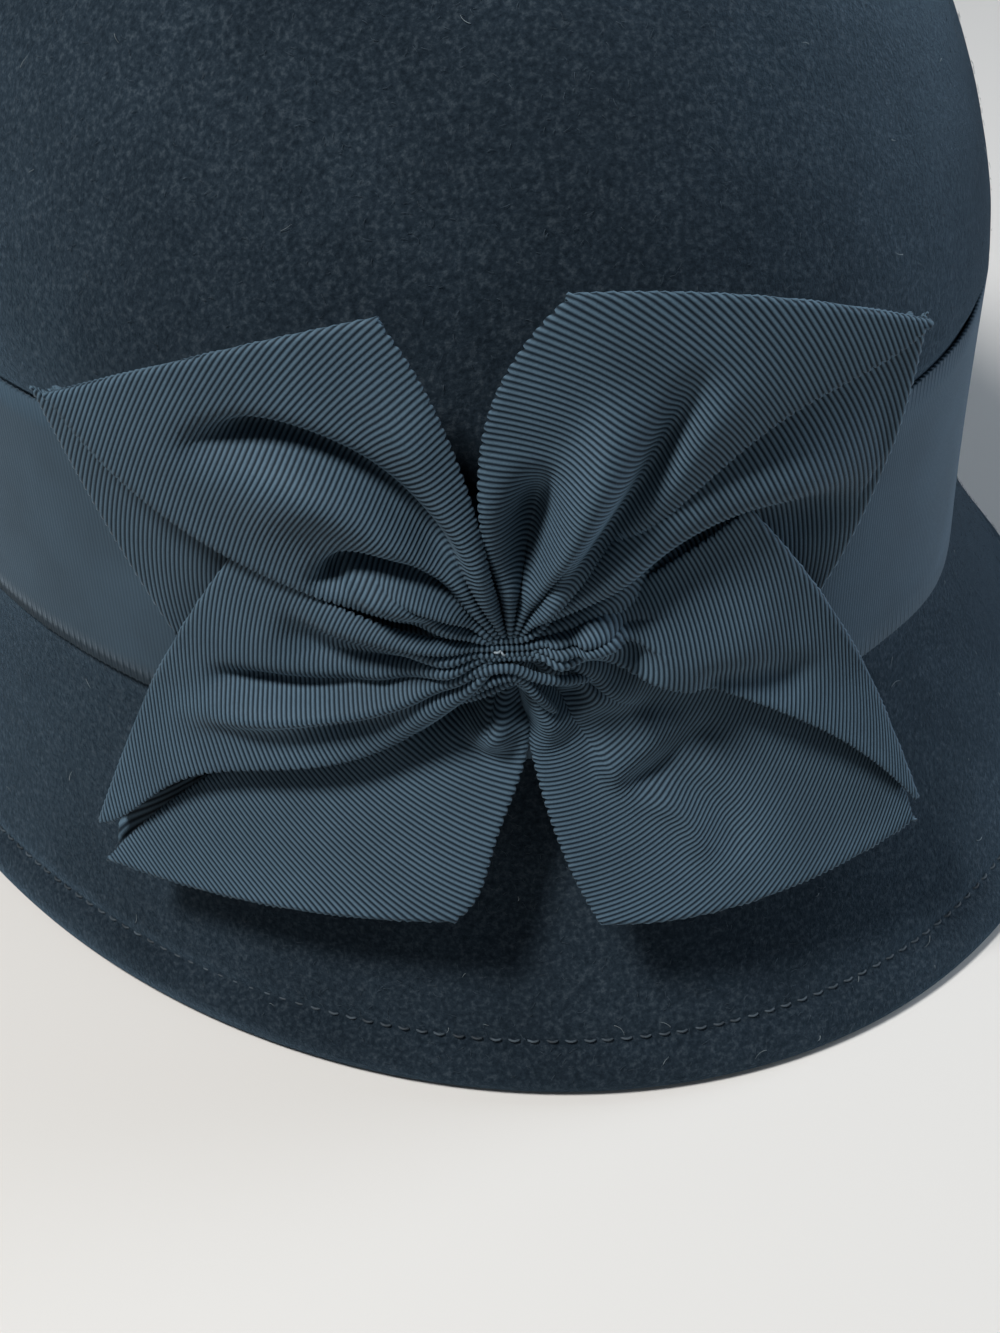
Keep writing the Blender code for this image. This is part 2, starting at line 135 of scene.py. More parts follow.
# Folds of the ribbon: curves in places (across, along), across from selvedge 0 to 1 and
# along from the gather to the fold, with smooth curves through them. A fold rises by its
# height, a share of BOW_STAND_OFF, or sinks if that is below 0. Its sides spread by low and
# high, shares of RIBBON_WIDTH, on the side of the lower and of the higher across.
Fold = namedtuple("Fold", "height low high path")
FOLDS = {
    "upper_left_front": (
        Fold(0.30, 0.09, 0.07, ((0.10, 0.06), (0.10, 0.50), (0.14, 0.90))),
        Fold(-0.86, 0.05, 0.07, ((0.20, 0.05), (0.24, 0.28), (0.29, 0.45), (0.38, 0.63),
                                 (0.52, 0.76), (0.66, 0.80), (0.84, 0.80))),
        Fold(0.34, 0.12, 0.12, ((0.40, 0.05), (0.40, 0.35), (0.55, 0.60), (0.92, 0.62))),
        Fold(-0.66, 0.04, 0.05, ((0.40, 0.05), (0.50, 0.20), (0.60, 0.33), (0.75, 0.40),
                                 (0.90, 0.40), (1.00, 0.38))),
        Fold(0.36, 0.06, 0.06, ((0.60, 0.05), (0.68, 0.20), (0.80, 0.30), (1.00, 0.32))),
        Fold(-0.22, 0.04, 0.04, ((0.66, 0.05), (0.78, 0.16), (1.00, 0.24)))),
    "upper_left_back": (Fold(0.10, 0.2, 0.2, ((0.50, 0.20), (0.50, 0.90))),),
    "upper_right_front": (
        Fold(0.38, 0.09, 0.08, ((0.12, 0.05), (0.07, 0.30), (0.11, 0.65))),
        Fold(-0.75, 0.11, 0.06, ((0.32, 0.04), (0.38, 0.18), (0.34, 0.36), (0.24, 0.58))),
        Fold(0.62, 0.08, 0.10, ((0.55, 0.04), (0.60, 0.20), (0.56, 0.45), (0.44, 0.78))),
        Fold(-0.42, 0.05, 0.05, ((0.72, 0.04), (0.81, 0.22), (0.80, 0.40), (0.71, 0.62),
                                 (0.53, 0.86))),
        Fold(0.12, 0.045, 0.06, ((0.84, 0.04), (0.90, 0.22), (0.90, 0.42), (0.82, 0.64),
                                 (0.70, 0.86)))),
    "upper_right_back": (
        Fold(0.66, 0.09, 0.18, ((0.76, 0.05), (0.78, 0.25), (0.75, 0.42), (0.67, 0.60),
                                (0.57, 0.80), (0.45, 1.05))),
        Fold(-0.35, 0.12, 0.10, ((0.30, 0.30), (0.48, 0.50), (0.42, 0.75), (0.25, 0.98)))),
    "lower_left_front": (
        Fold(0.24, 0.08, 0.08, ((0.12, 0.10), (0.12, 0.45), (0.15, 0.75))),
        Fold(-0.42, 0.07, 0.08, ((0.44, 0.12), (0.40, 0.32), (0.33, 0.52), (0.22, 0.78))),
        Fold(0.22, 0.05, 0.05, ((0.46, 0.08), (0.52, 0.25), (0.50, 0.45))),
        Fold(-0.50, 0.05, 0.04, ((0.64, 0.05), (0.66, 0.25), (0.65, 0.42), (0.61, 0.65),
                                 (0.50, 0.86))),
        Fold(0.48, 0.05, 0.06, ((0.72, 0.05), (0.72, 0.30), (0.72, 0.60), (0.70, 0.90))),
        Fold(-0.30, 0.03, 0.05, ((0.80, 0.08), (0.80, 0.30), (0.80, 0.58)))),
    "lower_left_back": (
        Fold(-0.55, 0.08, 0.08, ((0.10, 0.03), (0.08, 0.16), (0.10, 0.36))),
        Fold(0.62, 0.07, 0.08, ((0.32, 0.10), (0.33, 0.24), (0.34, 0.40))),
        Fold(-0.60, 0.07, 0.07, ((0.48, 0.03), (0.50, 0.18), (0.52, 0.36))),
        Fold(-0.40, 0.07, 0.07, ((0.70, 0.03), (0.70, 0.20), (0.72, 0.40)))),
    "lower_right_front": (
        Fold(0.30, 0.07, 0.07, ((0.20, 0.04), (0.16, 0.20), (0.08, 0.42))),
        Fold(-0.34, 0.06, 0.06, ((0.42, 0.05), (0.38, 0.14), (0.30, 0.24))),
        Fold(0.42, 0.07, 0.08, ((0.62, 0.04), (0.62, 0.14), (0.50, 0.26), (0.34, 0.36))),
        Fold(-0.48, 0.06, 0.08, ((0.88, 0.08), (0.84, 0.18), (0.72, 0.27), (0.56, 0.34))),
        Fold(0.22, 0.16, 0.14, ((0.85, 0.24), (0.66, 0.45), (0.50, 0.80))),
        Fold(-0.30, 0.07, 0.06, ((1.05, 0.35), (0.95, 0.45), (0.86, 0.60), (0.74, 0.80)))),
    "lower_right_back": (
        Fold(-0.35, 0.06, 0.06, ((0.02, 0.05), (0.00, 0.24), (0.02, 0.42))),
        Fold(0.40, 0.07, 0.08, ((0.12, 0.04), (0.14, 0.22), (0.26, 0.38))),
        Fold(-0.50, 0.08, 0.10, ((0.40, 0.04), (0.40, 0.18), (0.46, 0.30))),
        Fold(0.30, 0.07, 0.08, ((0.66, 0.04), (0.66, 0.22), (0.76, 0.36))),
        Fold(0.26, 0.08, 0.08, ((0.26, 0.50), (0.46, 0.46), (0.72, 0.42))),
        Fold(-0.22, 0.06, 0.07, ((0.30, 0.60), (0.52, 0.55), (0.80, 0.52))),
        Fold(0.16, 0.04, 0.04, ((0.30, 0.57), (0.42, 0.62), (0.46, 0.70), (0.40, 0.90))),
        Fold(-0.12, 0.04, 0.05, ((0.50, 0.58), (0.55, 0.70), (0.50, 0.90)))),
}

# Rounded pleats that run into the gather: how many across the leg, their height as a share
# of their width, and how far out from the gather they fade.
Ridges = namedtuple("Ridges", "count height fade")
RIDGES = {
    "upper_left_front": Ridges(4, 1.40, 11 * MM),
    "upper_left_back": Ridges(2, 0.40, 12 * MM),
    "upper_right_front": Ridges(3, 1.20, 11 * MM),
    "upper_right_back": Ridges(2, 1.00, 14 * MM),
    "lower_left_front": Ridges(5, 1.40, 13 * MM),
    "lower_left_back": Ridges(3, 0.80, 9 * MM),
    "lower_right_front": Ridges(3, 1.20, 10 * MM),
    "lower_right_back": Ridges(3, 1.00, 11 * MM),
}

# These ridges are rounded by a power of a sine, and rise over a short way from the gather.
# Ribs shift a little in or out on each of them, most at RIB_PULL_REACH, and bow away from the
# gather over them.
RIDGE_POWER = 0.7
RIDGE_RISE = 1.5 * MM
RIB_PULL = 0.5 * RIB_PITCH
RIB_PULL_TURN = 2.4
RIB_PULL_REACH = 3.0 * MM
RIB_BOW = 0.6

# Pleats that cross the gather from one loop to another. Each has its radius in mm and its
# path through places given as bearing in degrees, distance from the middle and lift in mm.
Pleat = namedtuple("Pleat", "radius path")
PLEATS = (
    Pleat(0.64, ((208, 12.0, 0.6), (210, 8.4, 1.4), (214, 6.2, 1.3), (228, 3.4, 1.2),
                 (278, 2.5, 1.1), (307, 4.8, 1.0), (320, 7.6, 0.6), (329, 12.5, -1.6))),
    Pleat(0.62, ((222, 12.6, 0.4), (228, 9.2, 1.0), (240, 5.6, 1.0), (258, 4.2, 0.8),
                 (278, 4.0, 0.7), (290, 5.2, 0.5), (294, 8.0, 0.4), (297, 12.4, -0.8))),
    Pleat(0.52, ((230, 11.8, -0.4), (238, 8.8, 0.3), (252, 6.6, 0.3), (266, 5.3, 0.2),
                 (277, 5.1, 0.1), (284, 6.0, -0.2), (286, 9.0, -2.4))),
    Pleat(0.48, ((172, 7.5, 0.5), (170, 4.0, 1.1), (140, 1.0, 0.9), (25, 1.6, 0.9),
                 (17, 4.4, 1.1), (15, 7.5, 0.6))),
    Pleat(0.46, ((186, 7.0, 0.4), (187, 3.6, 1.0), (215, 0.8, 0.8), (352, 1.8, 0.8),
                 (354, 4.5, 1.0), (352, 7.5, 0.4))),
    Pleat(0.44, ((148, 6.5, 0.7), (146, 3.5, 1.0), (100, 1.7, 0.9), (45, 3.2, 1.1),
                 (42, 6.5, 0.7))),
    Pleat(0.42, ((193, 5.0, 0.5), (204, 2.4, 0.9), (275, 1.0, 0.8), (338, 2.6, 0.9),
                 (345, 5.4, 0.5))),
)

LOOPS = ("upper_left", "upper_right", "lower_left", "lower_right")

# How far the hidden panel of each loop hangs back, as a share of BOW_STAND_OFF
PANEL_DROP = {"upper_left": 0.15, "upper_right": 0.28, "lower_left": 0.45, "lower_right": 0.55}


def add_object(name, data):
    """An object of the scene."""
    made = bpy.data.objects.new(name, data)
    bpy.context.scene.collection.objects.link(made)
    return made


# Camera

def camera():
    data = bpy.data.cameras.new("camera")
    data.lens = CAMERA_LENS
    data.sensor_width = CAMERA_SENSOR
    data.clip_start = 0.01
    data.clip_end = 20.0
    made = add_object("camera", data)
    back = CAMERA_RIGHT.cross(CAMERA_UP)
    turn = Matrix((CAMERA_RIGHT, CAMERA_UP, back)).transposed()
    made.matrix_world = Matrix.Translation(CAMERA_PLACE) @ turn.to_4x4()
    bpy.context.scene.camera = made


# Meshes from arrays of points

def grid_faces(rows, sides):
    """Quads of a grid of points, whose rows close on themselves."""
    row, side = np.meshgrid(np.arange(rows - 1), np.arange(sides), indexing="ij")
    near = row * sides + side
    far = row * sides + (side + 1) % sides
    return np.stack([near, near + sides, far + sides, far], -1).reshape(-1, 4)


def closed_ends(faces, rows, sides):
    """The faces of a tube of rows of points, with more across each open end."""
    step = np.arange(sides // 2 - 1)
    zipper = np.stack([step, step + 1, sides - 2 - step, sides - 1 - step], -1)
    return np.vstack([faces, zipper, zipper[:, ::-1] + (rows - 1) * sides])


def outward(points, faces):
    """The same faces, turned round if the closed mesh they make is inside out."""
    a, b, c, d = (points[faces[:, k]] for k in range(4))
    volume = (a * np.cross(b, c)).sum() + (a * np.cross(c, d)).sum()
    return faces if volume > 0 else faces[:, ::-1]


def add_piece(name, points, faces, finish, uv=None):
    """A piece from points and from faces, an array of quads or a list of any faces."""
    if isinstance(faces, np.ndarray):
        faces = faces.tolist()
    mesh = bpy.data.meshes.new(name)
    mesh.from_pydata(np.asarray(points, float).tolist(), [], faces)
    if uv is not None:
        layer = mesh.uv_layers.new(name="UVMap")
        corner = np.zeros(len(mesh.loops), np.int32)
        mesh.loops.foreach_get("vertex_index", corner)
        layer.data.foreach_set("uv", np.asarray(uv, np.float32)[corner].ravel())
    mesh.shade_smooth()
    mesh.materials.append(finish)
    made = add_object(name, mesh)
    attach(made, "root")
    return made


def full_turn(sides):
    """Angles of a full turn in even steps."""
    return 2 * np.pi * np.arange(sides) / sides


def lengths_along(line):
    """Distance along a line of points, from 0 at the first of them."""
    return np.concatenate([[0.0], np.cumsum(np.linalg.norm(np.diff(line, axis=0), axis=1))])


def rib_wave(count):
    """1 at the crest of each rib and below 0 beside it, over rows of points."""
    return np.cos(2 * np.pi * np.arange(count) / ROWS_PER_RIB)


def grid_normals(points, closed=False):
    """Unit normals of a rows by columns grid of points."""
    along = np.gradient(points, axis=0)
    if closed:
        across = np.roll(points, -1, 1) - np.roll(points, 1, 1)
    else:
        across = np.gradient(points, axis=1)
    normal = np.cross(along, across)
    size = np.linalg.norm(normal, axis=-1, keepdims=True)
    return normal / np.maximum(size, 1e-12)


# Materials

def node_tree(name):
    made = bpy.data.materials.new(name)
    made.use_nodes = True
    return made, made.node_tree.nodes, made.node_tree.links


def noise_node(nodes, links, coordinates, scale, detail, rough=0.6):
    made = nodes.new("ShaderNodeTexNoise")
    made.inputs["Scale"].default_value = scale
    made.inputs["Detail"].default_value = detail
    made.inputs["Roughness"].default_value = rough
    links.new(coordinates, made.inputs["Vector"])
    return made.outputs["Fac"]


def ramp_node(nodes, links, value, stops):
    made = nodes.new("ShaderNodeValToRGB")
    ramp = made.color_ramp
    while len(ramp.elements) < len(stops):
        ramp.elements.new(0.5)
    for element, (place, colour) in zip(ramp.elements, stops):
        element.position = place
        element.color = (*colour, 1.0)
    links.new(value, made.inputs["Fac"])
    return made.outputs["Color"]


def multiply_node(nodes, links, first, second):
    """The first colour times the second."""
    made = nodes.new("ShaderNodeMix")
    made.data_type = "RGBA"
    made.blend_type = "MULTIPLY"
    made.inputs["Factor"].default_value = 1.0
    links.new(first, made.inputs["A"])
    links.new(second, made.inputs["B"])
    return made.outputs["Result"]


def math_node(nodes, links, operation, first, second=None):
    made = nodes.new("ShaderNodeMath")
    made.operation = operation
    for socket, value in zip(made.inputs, (first, second)):
        if isinstance(value, (int, float)):
            socket.default_value = value
        elif value is not None:
            links.new(value, socket)
    return made.outputs["Value"]


def bump_node(nodes, links, height, strength, distance):
    made = nodes.new("ShaderNodeBump")
    made.inputs["Strength"].default_value = strength
    made.inputs["Distance"].default_value = distance
    links.new(height, made.inputs["Height"])
    return made.outputs["Normal"]


def set_shader(nodes, **values):
    """The Principled shader with values on its own sockets, named with _ for a space."""
    shader = nodes["Principled BSDF"]
    for name, value in values.items():
        shader.inputs[name.replace("_", " ")].default_value = value
    return shader


def patchy(nodes, links, tone, place, scale, dark, light):
    """The tone made darker and lighter in broad patches."""
    cloud = noise_node(nodes, links, place, scale, 3.0)
    drift = ramp_node(nodes, links, cloud, ((0.30, dark), (0.70, light)))
    return multiply_node(nodes, links, tone, drift)


def felt_material():
    made, nodes, links = node_tree("felt")
    shader = set_shader(nodes, Roughness=0.95, Specular_IOR_Level=0.05, Sheen_Weight=0.20,
                        Sheen_Roughness=0.45, Sheen_Tint=(0.40, 0.65, 0.90, 1.0))
    place = nodes.new("ShaderNodeTexCoord").outputs["Object"]
    clumps = noise_node(nodes, links, place, 1350.0, 5.0, 0.62)
    tone = ramp_node(nodes, links, clumps, ((0.33, (0.0060, 0.0108, 0.0165)),
                                            (0.52, (0.0126, 0.0206, 0.0298)),
                                            (0.72, (0.034, 0.047, 0.060))))
    colour = patchy(nodes, links, tone, place, 45.0, (0.80, 0.80, 0.80), (1.22, 1.20, 1.18))
    links.new(colour, shader.inputs["Base Color"])
    nap = noise_node(nodes, links, place, 1700.0, 5.0, 0.7)
    links.new(bump_node(nodes, links, nap, 0.55, 0.0005), shader.inputs["Normal"])
    return made


def ribbon_material(name, valley_shade, crest, relief, sheen):
    """Ribbed ribbon: the UV map counts ribs along the ribbon and millimetres across it. The
    colour runs from the ribbon's own colour on the crests of the ribs to a painted shade in the
    valleys between them.
    """
    made, nodes, links = node_tree(name)
    shader = set_shader(nodes, Roughness=0.70, Specular_IOR_Level=0.12, Sheen_Weight=sheen,
                        Sheen_Roughness=0.4, Sheen_Tint=(0.6, 0.75, 0.9, 1.0))
    uv = nodes.new("ShaderNodeTexCoord").outputs["UV"]
    split = nodes.new("ShaderNodeSeparateXYZ")
    links.new(uv, split.inputs["Vector"])
    turn = math_node(nodes, links, "MULTIPLY", split.outputs["X"], 2 * math.pi)
    wave = math_node(nodes, links, "COSINE", turn)
    half = math_node(nodes, links, "MULTIPLY", wave, 0.5)
    height = math_node(nodes, links, "ADD", half, 0.5)
    threads = noise_node(nodes, links, uv, 2.4, 4.0, 0.7)
    uneven = math_node(nodes, links, "MULTIPLY", threads, 0.9)
    uneven = math_node(nodes, links, "ADD", uneven, 0.55)
    share = math_node(nodes, links, "MULTIPLY", height, uneven)
    # painted shade: the colour darkens from the crest colour to the valley colour in the hollows
    # between ribs
    tone = ramp_node(nodes, links, share, ((0.05, valley_shade), (0.95, crest)))
    place = nodes.new("ShaderNodeTexCoord").outputs["Object"]
    colour = patchy(nodes, links, tone, place, 70.0, (0.88, 0.88, 0.88), (1.12, 1.12, 1.12))
    links.new(colour, shader.inputs["Base Color"])
    fine = noise_node(nodes, links, place, 3500.0, 3.0, 0.6)
    links.new(bump_node(nodes, links, fine, relief, 0.0002), shader.inputs["Normal"])
    return made


def plain_material(name, colour, roughness, spread=0.25):
    """One colour that varies a little from place to place."""
    made, nodes, links = node_tree(name)
    shader = set_shader(nodes, Roughness=roughness, Specular_IOR_Level=0.25)
    place = nodes.new("ShaderNodeTexCoord").outputs["Object"]
    cloud = noise_node(nodes, links, place, 260.0, 3.0)
    dark = tuple(c * (1 - spread) for c in colour)
    light = tuple(c * (1 + spread) for c in colour)
    links.new(ramp_node(nodes, links, cloud, ((0.3, dark), (0.7, light))),
              shader.inputs["Base Color"])
    return made


# Ovals of the crown and the brim

def crown_oval(grow=0.0):
    return Oval(CROWN_SHIFT_X, CROWN_SHIFT_Y, CROWN_WIDTH / 2 + grow, CROWN_LENGTH / 2 + grow)


def brim_oval(share, inset=0.0):
    """Oval part of the way from the crown, share 0, to the brim's edge, share 1."""
    out = share ** BRIM_FLARE
    crown = crown_oval()
    return Oval(crown.x * (1 - out), crown.y * (1 - out),
                crown.half_width + (BRIM_WIDTH / 2 - crown.half_width) * out - inset,
                crown.half_length + (BRIM_LENGTH / 2 - crown.half_length) * out - inset)


def ring(oval, z, sides, scale=1.0):
    """Points round a level oval."""
    turn = full_turn(sides)
    return np.stack([oval.x + oval.half_width * scale * np.cos(turn),
                     oval.y + oval.half_length * scale * np.sin(turn),
                     np.full(sides, z)], -1)


# Felt: one skin down the outside, round the rolled hem and up the inside

FELT_SIDES = 380
DOME_ROWS = 70
WALL_ROWS = 6
BRIM_ROWS = 56
EDGE_ROWS = 12
INSIDE_ROWS = 16
STITCH_HEIGHT = 8.0 * MM

# Unevenness of the felt: broad and small waves, with how many to a metre and how high, the
# groove that the stitches draw in, and the soft roll of the hem below it
BROAD_WAVES = 28.0
BROAD_HEIGHT = 0.45 * MM
SMALL_WAVES = 160.0
SMALL_HEIGHT = 0.10 * MM
GROOVE_DEPTH = 0.50 * MM
GROOVE_SPREAD = 0.8 * MM
ROLL_MIDDLE = STITCH_HEIGHT * 0.55
ROLL_HEIGHT = 0.35 * MM
ROLL_SPREAD = 2.6 * MM


def dome_rings(inset, rows):
    """Rings from just under the top down to the foot of the dome."""
    wall = crown_oval(DOME_BULGE - inset)
    rise = HAT_HEIGHT - inset - DOME_START
    rings = []
    for i in range(1, rows + 1):
        turn = math.pi / 2 * i / rows
        height = max(math.cos(turn), 0.0) ** (2 / DOME_POWER)
        rings.append(ring(wall, DOME_START + rise * height, FELT_SIDES, math.sin(turn)))
    return rings


def wall_rings(inset):
    """Rings of the even wall under the band."""
    seat = crown_oval(-inset)
    return [ring(seat, BAND_TOP + (BRIM_DEPTH - BAND_TOP) * i / WALL_ROWS, FELT_SIDES)
            for i in range(WALL_ROWS + 1)]


def brim_rings(inset, lowest, rows):
    """Rings of the brim from the band down to the lowest height."""
    rings = []
    for i in range(1, rows + 1):
        z = BRIM_DEPTH + (lowest - BRIM_DEPTH) * i / rows
        share = (BRIM_DEPTH - z) / (BRIM_DEPTH - EDGE_ROUND)
        rings.append(ring(brim_oval(share, inset), z, FELT_SIDES))
    return rings


def edge_rings():
    """The rolled edge, and the face of the turned-under hem up to its raw edge."""
    rings = []
    for i in range(1, EDGE_ROWS + 1):
        turn = math.pi * i / EDGE_ROWS
        inset = HEM_THICKNESS * (1 - math.cos(turn)) / 2
        height = EDGE_ROUND * (1 - max(math.sin(turn), 0.0) ** 0.75)
        rings.append(ring(brim_oval(1.0, inset), height, FELT_SIDES))
    hem_share = 1.0 - (HEM_WIDTH - EDGE_ROUND) / (BRIM_DEPTH - EDGE_ROUND)
    for step, inset in ((0.5, 1.0), (0.95, 1.0), (1.0, 0.9)):
        share = 1.0 + (hem_share - 1.0) * step
        z = EDGE_ROUND + (HEM_WIDTH - EDGE_ROUND) * step
        rings.append(ring(brim_oval(share, HEM_THICKNESS * inset), z, FELT_SIDES))
    return rings


def hem_swell(z, middle, height, spread):
    """Rise of the felt at height z from a soft ridge or groove along the hem."""
    if z >= 2 * STITCH_HEIGHT:
        return 0.0
    away = (z - middle) / spread
    return height * math.exp(-away * away)


def felt_relief(point):
    """How far the hand-blocked felt stands off its even form."""
    broad = noise.noise(point * BROAD_WAVES) * BROAD_HEIGHT
    small = noise.noise(point * SMALL_WAVES) * SMALL_HEIGHT
    groove = hem_swell(point.z, STITCH_HEIGHT, -GROOVE_DEPTH, GROOVE_SPREAD)
    roll = hem_swell(point.z, ROLL_MIDDLE, ROLL_HEIGHT, ROLL_SPREAD)
    return broad + small + groove + roll


def felt(finish):
    """The whole felt. The rows under the band stay even."""
    outside = dome_rings(0.0, DOME_ROWS) + wall_rings(0.0)
    outside += brim_rings(0.0, EDGE_ROUND, BRIM_ROWS)
    inside = dome_rings(FELT, INSIDE_ROWS) + wall_rings(FELT)
    inside += brim_rings(FELT, HEM_WIDTH + FELT / 4, INSIDE_ROWS)
    rings = np.array(outside + edge_rings() + inside[::-1])
    normals = grid_normals(rings, closed=True)
    covered = range(DOME_ROWS, DOME_ROWS + WALL_ROWS + 1)
    for row in range(len(outside) - 1):
        if row in covered:
            continue
        for side in range(FELT_SIDES):
            rings[row, side] += normals[row, side] * felt_relief(Vector(rings[row, side]))
    points = rings.reshape(-1, 3)
    faces = grid_faces(len(rings), FELT_SIDES).tolist()
    tips = [(CROWN_SHIFT_X, CROWN_SHIFT_Y, HAT_HEIGHT - inset) for inset in (0.0, FELT)]
    last_row = (len(rings) - 1) * FELT_SIDES
    for i in range(FELT_SIDES):
        j = (i + 1) % FELT_SIDES
        faces.append([len(points), i, j])
        faces.append([len(points) + 1, last_row + j, last_row + i])
    return add_piece("felt_shell", np.vstack([points, tips]), faces, finish)


# Band: ribs run up and down, and the lower edge stands off a little

BAND_RELIEF = 0.035 * MM
BAND_ROWS = 10
BAND_WALL = 0.6 * MM
BAND_PICOT = 0.18 * MM
BAND_SLACK = 0.35 * MM
TOP_WAVES = 23
TOP_WAVE_HEIGHT = 0.12 * MM
FLARE_TURN = -60.0 % 360
FLARE_SPREAD = 9.0
FLARE_HEIGHT = 1.3 * MM


def oval_length(oval):
    """How far it is round an oval."""
    a, b = oval.half_width, oval.half_length
    return math.pi * (3 * (a + b) - math.sqrt((3 * a + b) * (a + 3 * b)))


def band(finish):
    """The band: its outer wall from the lower selvedge up, then its inner wall back down."""
    oval = crown_oval(CLEARANCE)
    around = oval_length(oval)
    sides = round(around / RIB_PITCH) * ROWS_PER_RIB
    turn = full_turn(sides)
    picot = np.clip(np.cos(np.pi * np.arange(sides) / ROWS_PER_RIB), 0, 1) * BAND_PICOT
    slack = np.array([noise.noise(Vector((math.cos(t) * 3, math.sin(t) * 3, 0.0))) for t in turn])
    flare = np.exp(-((np.degrees(turn) - FLARE_TURN) / FLARE_SPREAD) ** 2)
    wall = BAND_WALL + rib_wave(sides) * BAND_RELIEF
    shares = [i / BAND_ROWS for i in range(BAND_ROWS + 1)]
    outer, inner = [], []
    for share in shares:
        low = (1 - share) ** 3
        off = (slack * BAND_SLACK + BAND_SLACK) * low + flare * FLARE_HEIGHT * low
        off = off + TOP_WAVE_HEIGHT * np.sin(turn * TOP_WAVES) * share ** 4
        z = np.full(sides, BAND_BOTTOM + RIBBON_WIDTH * share)
        if share == 0.0:
            z = z - picot
        if share == 1.0:
            z = z + picot
        for grow, made in ((wall, outer), (0.0, inner)):
            made.append(np.stack([oval.x + (oval.half_width + off + grow) * np.cos(turn),
                                  oval.y + (oval.half_length + off + grow) * np.sin(turn),
                                  z], -1))
    rings = np.array([inner[0]] + outer + [inner[-1], inner[BAND_ROWS // 2]])
    count = len(rings)
    points = rings.reshape(-1, 3)
    faces = grid_faces(count + 1, sides) % (count * sides)
    faces = outward(points, faces)
    uv = np.zeros((count, sides, 2))
    uv[:, :, 0] = np.arange(sides) / ROWS_PER_RIB
    across = np.array([0.0] + shares + [1.0, 0.5])
    uv[:, :, 1] = across[:, None] * RIBBON_WIDTH / MM
    made = add_piece("crown_band", points, faces, finish, uv.reshape(-1, 2))
    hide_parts("band")


# Bow: a face that leans over the band, with everything on it given by place and lift

def bow_frame():
    """The middle of the bow's face, and its directions across, up and out."""
    oval = crown_oval(CLEARANCE + RIBBON_WALL)
    bearing = math.radians(BOW_BEARING)
    turn = math.atan2(oval.half_length * math.sin(bearing), oval.half_width * math.cos(bearing))
    middle = Vector((oval.x + (oval.half_width + BOW_STAND_OFF) * math.cos(turn),
                     oval.y + (oval.half_length + BOW_STAND_OFF) * math.sin(turn),
                     (BAND_BOTTOM + BAND_TOP) / 2 + BOW_RISE))
    out = Vector((math.cos(bearing), math.sin(bearing), 0.0))
    up = Vector((0.0, 0.0, 1.0))
    return middle, up.cross(out), up, out


def bow_points(places):
    """Points over the bow's face from an array of x, y and lift."""
    middle, across, up, out = (np.array(v) for v in bow_frame())
    x, y, lift = (places[..., k, None] for k in range(3))
    below = np.maximum(0.0, -y - BOW_KICK_START)
    face = -x * x / (2 * BOW_CURVE) + BOW_KICK * below * below / (below + BOW_KICK_START / 2)
    return middle + across * x + up * y + out * (face + lift)


def fold_place(leg, column):
    """Place in the bow's face of points of the fold at the end of a leg."""
    middle = BOW_REACH * leg.reach
    bearing, fold = math.radians(leg.bearing), math.radians(leg.fold)
    length = leg.width * RIBBON_WIDTH
    along = (column - 0.5) * length
    x = middle * math.cos(bearing) + along * math.cos(fold)
    y = middle * math.sin(bearing) + along * math.sin(fold)
    stretch = 1 + leg.sag * length * 4 * column * (1 - column) / np.hypot(x, y)
    return x * stretch, y * stretch


def through(root, mid, end, along):
    """Smooth value that is root, mid and end at 0, 1/2 and 1 along."""
    return (root * (1 - along) * (1 - 2 * along) + mid * 4 * along * (1 - along)
            + end * along * (2 * along - 1))


def leg_plan(name, along, column):
    """Place in the bow's face of points of a leg, along from 0 at the gather to 1 at the fold."""
    leg = LEGS[name]
    x, y = fold_place(leg, column)
    root = leg.root_0 + (leg.root_1 - leg.root_0) * column
    mid = leg.mid_0 + (leg.mid_1 - leg.mid_0) * column
    end = np.degrees(np.arctan2(y, x))
    end = end + 360.0 * np.round((mid - end) / 360.0)
    bow = np.sin(np.pi * along ** 1.6) ** 2
    bend = bow * (leg.bend_0 * (1 - column) ** 2 + leg.bend_1 * column ** 2)
    turn = np.radians(through(root, mid, end, along) + bend)
    radius = ROOT_RADIUS + (np.hypot(x, y) - ROOT_RADIUS) * along
    return radius * np.cos(turn), radius * np.sin(turn), radius


def smooth_path(points, steps=8):
    """A smooth curve through a few points."""
    points = np.asarray(points, float)
    ends = np.vstack([2 * points[0] - points[1], points, 2 * points[-1] - points[-2]])
    t = np.linspace(0, 1, steps, endpoint=False)[:, None]
    pieces = []
    for a, b, c, d in zip(ends, ends[1:], ends[2:], ends[3:]):
        pieces.append(0.5 * (2 * b + (c - a) * t + (2 * a - 5 * b + 4 * c - d) * t ** 2
                             + (3 * b - a - 3 * c + d) * t ** 3))
    return np.vstack(pieces + [points[-1:]])


